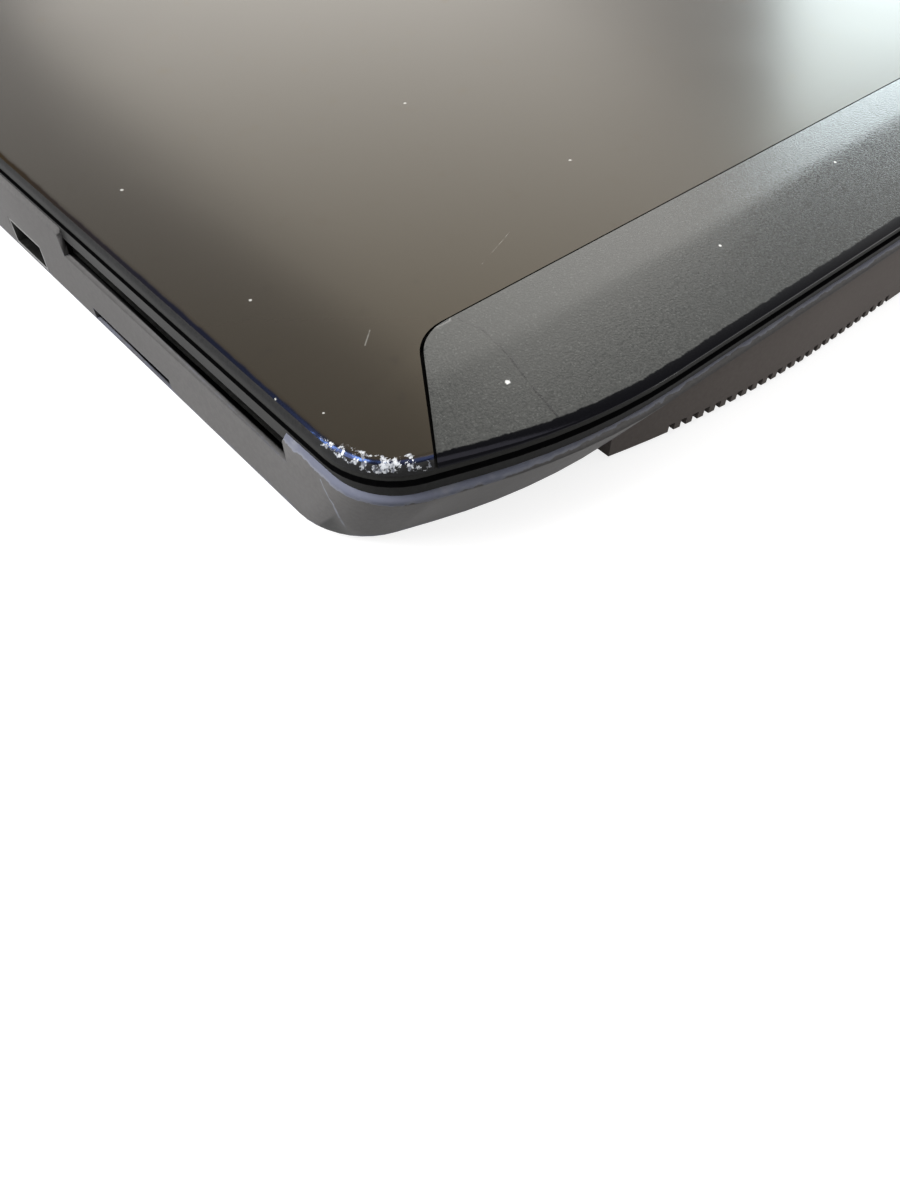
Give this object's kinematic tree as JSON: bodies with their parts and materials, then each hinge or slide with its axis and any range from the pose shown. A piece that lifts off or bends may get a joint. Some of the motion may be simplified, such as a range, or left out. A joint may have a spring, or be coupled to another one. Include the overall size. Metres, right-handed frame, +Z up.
{
  "type": "laptop computer",
  "caption": "Closed clamshell laptop with a metal-backed display lid, plastic antenna strip, hinged screen, keyboard, touchpad and side ports.",
  "frame": {"origin": "on the table under the middle of the body's plan, with the lid closed", "axes": "+X to the user's right, +Y back to the hinge, +Z up"},
  "size_m": [0.339, 0.237, 0.0244],
  "materials": {
    "lid_metal": "satin anodised, dark brown-grey",
    "strip_plastic": "fine-grained grey-green plastic",
    "rim_plastic": "satin dark grey",
    "deck_metal": "satin dark grey",
    "case_plastic": "satin grey with worn edges",
    "screen": "dark, slightly frosted",
    "lens": "clear dark disc",
    "key_plastic": "fine matt black",
    "black_plastic": "matt black",
    "pad_surface": "smooth dark grey",
    "light_pipe": "clear light pipe",
    "rubber": "matt black",
    "steel": "plain",
    "plated": "plated sheet",
    "copper": "bare copper",
    "board": "lacquered board",
    "cell_wrap": "wrapped cells",
    "foil": "thin foil"
  },
  "bodies": {
    "base": {"top_case": "deck_metal", "bottom_cover": "case_plastic", "front_grille": "case_plastic", "keyboard_frame": "black_plastic", "speakers": "black_plastic", "fan_housing": "black_plastic", "lan_jack": "black_plastic", "audio_jack": "black_plastic", "power_inlet": "black_plastic", "processor": "black_plastic", "touchpad": "pad_surface", "status_lights": "light_pipe", "rubber_feet": "rubber", "keyboard_plate": "steel", "hinge_base_left": "steel", "hinge_base_right": "steel", "board_screws": "steel", "bottom_screws": "steel", "coin_cell": "steel", "drive": "steel", "heatsink_fins": "steel", "card_reader": "plated", "sd_reader": "plated", "usb_ports": "plated", "video_port": "plated", "heat_spreader": "copper", "heat_pipe": "copper", "motherboard": "board", "ram_module": "board", "wifi_card": "board", "battery_pack": "cell_wrap"},
    "lid": {"lid_cover": "lid_metal", "antenna_cover": "strip_plastic", "display_bezel": "rim_plastic", "lcd_panel": "screen", "webcam_module": "board", "webcam_window": "lens", "wifi_antennas": "foil", "lid_bumpers": "rubber", "display_cable": "black_plastic", "hinge_arm_left": "steel", "hinge_arm_right": "steel", "hinge_screws": "steel", "hinge_cover": "rim_plastic", "hinge_caps": "rim_plastic"},
    "fan": {"fan_rotor": "black_plastic"},
    "power_key": {"power_button": "pad_surface"},
    "left_pad_key": {"pad_button_left": "pad_surface"},
    "right_pad_key": {"pad_button_right": "pad_surface"},
    "function_row": {"function_keys": "key_plastic"},
    "number_row": {"number_keys": "key_plastic"},
    "upper_row": {"upper_letter_keys": "key_plastic"},
    "home_row": {"home_letter_keys": "key_plastic"},
    "lower_row": {"lower_letter_keys": "key_plastic"},
    "modifier_row": {"modifier_keys": "key_plastic"},
    "shift_pair": {"shift_keys": "key_plastic"},
    "arrow_cluster": {"arrow_keys": "key_plastic"},
    "backspace": {"backspace_key": "key_plastic"},
    "enter": {"enter_key": "key_plastic"},
    "space": {"space_bar": "key_plastic"}
  },
  "joints": [
    {"name": "lid_hinge", "type": "hinge", "parent": "base", "child": "lid", "pos_m": [0, 0.1151, 0.021], "axis": [-1, 0, 0], "range_deg": [0, 135]},
    {"name": "fan_spin", "type": "hinge", "parent": "base", "child": "fan", "pos_m": [-0.12, 0.06, 0.0064], "axis": [0, 0, 1], "continuous": true},
    {"name": "power_key_press", "type": "slide", "parent": "base", "child": "power_key", "axis": [0, 0, -1], "range_m": [0, 0.0006], "stiffness_N_per_m": 400, "springref_m": -0.001},
    {"name": "left_pad_key_press", "type": "slide", "parent": "base", "child": "left_pad_key", "axis": [0, 0, -1], "range_m": [0, 0.0008], "stiffness_N_per_m": 400, "springref_m": -0.001},
    {"name": "right_pad_key_press", "type": "slide", "parent": "base", "child": "right_pad_key", "axis": [0, 0, -1], "range_m": [0, 0.0008], "stiffness_N_per_m": 400, "springref_m": -0.001},
    {"name": "function_row_press", "type": "slide", "parent": "base", "child": "function_row", "axis": [0, 0, -1], "range_m": [0, 0.0016], "stiffness_N_per_m": 400, "springref_m": -0.001},
    {"name": "number_row_press", "type": "slide", "parent": "base", "child": "number_row", "axis": [0, 0, -1], "range_m": [0, 0.0016], "stiffness_N_per_m": 400, "springref_m": -0.001},
    {"name": "upper_row_press", "type": "slide", "parent": "base", "child": "upper_row", "axis": [0, 0, -1], "range_m": [0, 0.0016], "stiffness_N_per_m": 400, "springref_m": -0.001},
    {"name": "home_row_press", "type": "slide", "parent": "base", "child": "home_row", "axis": [0, 0, -1], "range_m": [0, 0.0016], "stiffness_N_per_m": 400, "springref_m": -0.001},
    {"name": "lower_row_press", "type": "slide", "parent": "base", "child": "lower_row", "axis": [0, 0, -1], "range_m": [0, 0.0016], "stiffness_N_per_m": 400, "springref_m": -0.001},
    {"name": "modifier_row_press", "type": "slide", "parent": "base", "child": "modifier_row", "axis": [0, 0, -1], "range_m": [0, 0.0016], "stiffness_N_per_m": 400, "springref_m": -0.001},
    {"name": "shift_pair_press", "type": "slide", "parent": "base", "child": "shift_pair", "axis": [0, 0, -1], "range_m": [0, 0.0016], "stiffness_N_per_m": 400, "springref_m": -0.001},
    {"name": "arrow_cluster_press", "type": "slide", "parent": "base", "child": "arrow_cluster", "axis": [0, 0, -1], "range_m": [0, 0.0016], "stiffness_N_per_m": 400, "springref_m": -0.001},
    {"name": "backspace_press", "type": "slide", "parent": "base", "child": "backspace", "axis": [0, 0, -1], "range_m": [0, 0.0016], "stiffness_N_per_m": 400, "springref_m": -0.001},
    {"name": "enter_press", "type": "slide", "parent": "base", "child": "enter", "axis": [0, 0, -1], "range_m": [0, 0.0016], "stiffness_N_per_m": 400, "springref_m": -0.001},
    {"name": "space_press", "type": "slide", "parent": "base", "child": "space", "axis": [0, 0, -1], "range_m": [0, 0.0016], "stiffness_N_per_m": 400, "springref_m": -0.001}
  ]
}
